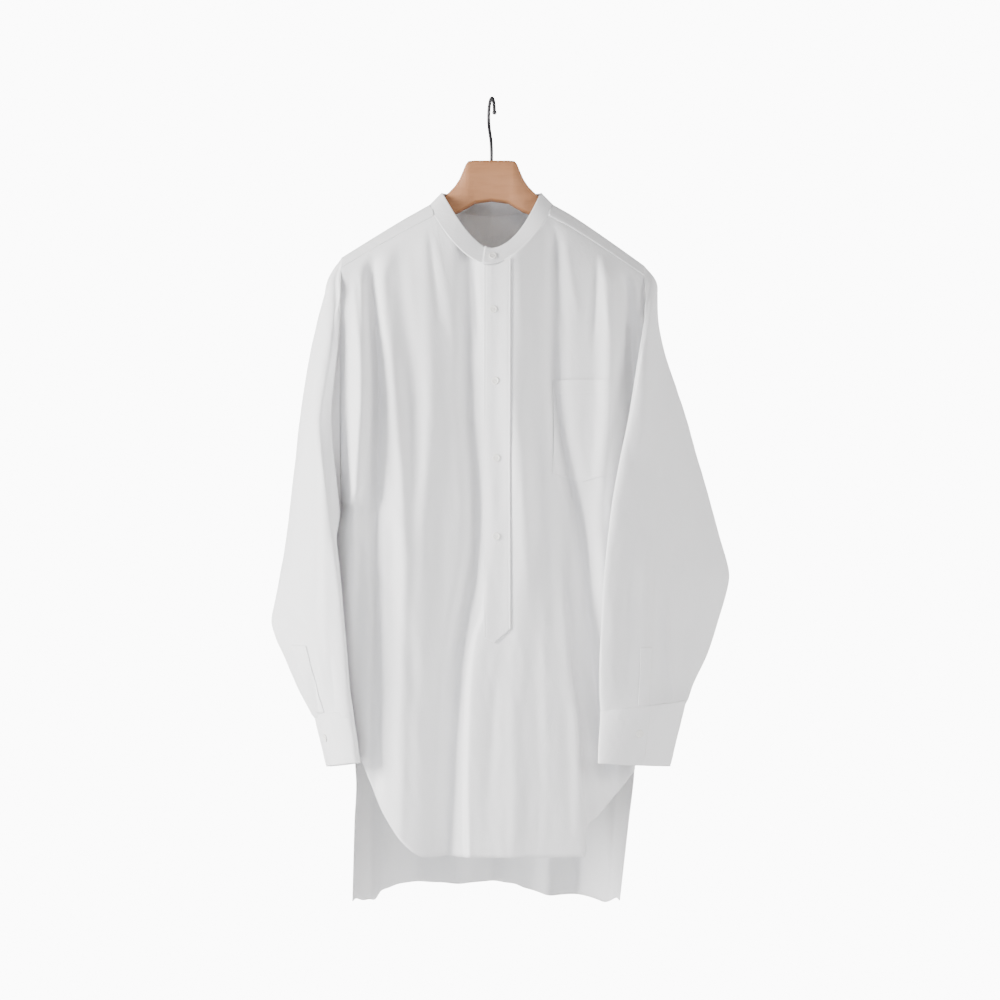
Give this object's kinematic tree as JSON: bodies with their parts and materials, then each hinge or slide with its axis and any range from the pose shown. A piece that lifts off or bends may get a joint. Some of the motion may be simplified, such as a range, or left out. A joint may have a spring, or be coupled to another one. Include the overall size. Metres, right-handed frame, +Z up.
{
  "type": "mandarin collar shirt on a wooden hanger",
  "caption": "Long white pullover shirt with a band collar, half placket, chest pocket, long cuffed sleeves and a longer back hem, hung on a contoured wooden hanger with a wire hook",
  "frame": {"origin": "the inner top of the hook's bend, where the hanger hangs", "axes": "+Z up, -Y towards the viewer who sees the front of the shirt, +X to that viewer's right"},
  "size_m": [0.5914, 0.2521, 1.042],
  "materials": {
    "cotton": "soft matt plain weave",
    "button": "satin",
    "wood": "satin, fine grain",
    "wire": "satin black"
  },
  "bodies": {
    "root": {"front": "cotton", "back": "cotton", "yoke": "cotton", "collar_band": "cotton", "placket": "cotton", "pocket": "cotton", "sleeve_left": "cotton", "sleeve_right": "cotton", "sleeve_placket_left": "cotton", "sleeve_placket_right": "cotton", "cuff_left": "cotton", "cuff_right": "cotton", "button_1": "button", "button_2": "button", "button_3": "button", "button_4": "button", "button_band": "button", "button_cuff_left": "button", "button_cuff_right": "button", "hanger": "wood", "hook": "wire", "hook_tip": "wire"}
  },
  "joints": []
}
